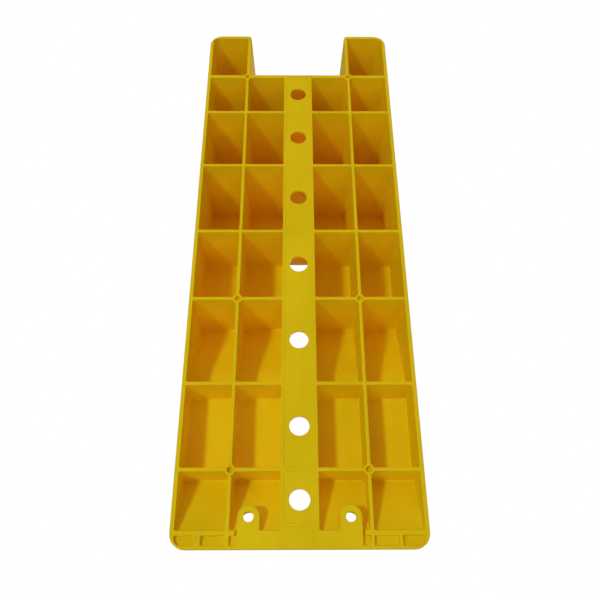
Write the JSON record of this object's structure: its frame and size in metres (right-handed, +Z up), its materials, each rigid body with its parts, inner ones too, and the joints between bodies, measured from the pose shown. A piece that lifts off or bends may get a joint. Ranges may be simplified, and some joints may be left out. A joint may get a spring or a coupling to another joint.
{
  "type": "wheel ramp leveler",
  "caption": "Stepped wheel ramp for levelling a parked caravan: ribbed open underside, holed spine channel, stepped decks, two tail prongs and toe lugs.",
  "frame": {"origin": "centre of the footprint on the ground plane", "axes": "+X to the right seen from the toe, +Y from the toe to the tall end, +Z up"},
  "size_m": [0.2, 0.562, 0.113],
  "materials": {
    "body_plastic": "satin moulded polypropylene, yellow through and through",
    "deck_plastic": "satin moulded polypropylene, fine grain, scuffed on the treads"
  },
  "bodies": {
    "root": {"boss_middle_left": "body_plastic", "boss_middle_right": "body_plastic", "boss_tail_left": "body_plastic", "boss_tail_right": "body_plastic", "boss_toe_left": "body_plastic", "boss_toe_right": "body_plastic", "cross_rib_1_left": "body_plastic", "cross_rib_1_right": "body_plastic", "cross_rib_2_left": "body_plastic", "cross_rib_2_right": "body_plastic", "cross_rib_3_left": "body_plastic", "cross_rib_3_right": "body_plastic", "cross_rib_4_left": "body_plastic", "cross_rib_4_right": "body_plastic", "cross_rib_5_left": "body_plastic", "cross_rib_5_right": "body_plastic", "cross_rib_6_left": "body_plastic", "cross_rib_6_right": "body_plastic", "deck_level_1_left": "deck_plastic", "deck_level_1_right": "deck_plastic", "deck_level_2_left": "deck_plastic", "deck_level_2_right": "deck_plastic", "deck_level_3_left": "deck_plastic", "deck_level_3_right": "deck_plastic", "deck_slope_1_left": "deck_plastic", "deck_slope_1_right": "deck_plastic", "deck_slope_2_left": "deck_plastic", "deck_slope_2_right": "deck_plastic", "deck_stop_left": "deck_plastic", "deck_stop_right": "deck_plastic", "deck_toe_left": "deck_plastic", "deck_toe_right": "deck_plastic", "lug_left": "body_plastic", "lug_right": "body_plastic", "mid_rib_left": "body_plastic", "mid_rib_right": "body_plastic", "nose_wall": "body_plastic", "prong_cap_left": "deck_plastic", "prong_cap_right": "deck_plastic", "prong_end_wall_left": "body_plastic", "prong_end_wall_right": "body_plastic", "prong_inner_wall_left": "body_plastic", "prong_inner_wall_right": "body_plastic", "side_wall_left": "body_plastic", "side_wall_right": "body_plastic", "spine_floor_1": "body_plastic", "spine_floor_2": "body_plastic", "spine_floor_3": "body_plastic", "spine_floor_4": "body_plastic", "spine_floor_5": "body_plastic", "spine_floor_6": "body_plastic", "spine_floor_7": "body_plastic", "spine_wall_left": "body_plastic", "spine_wall_right": "body_plastic", "spine_webs": "body_plastic", "tail_wall": "body_plastic", "toe_crossbar_left": "body_plastic", "toe_crossbar_right": "body_plastic", "toe_pad": "body_plastic"}
  },
  "joints": []
}
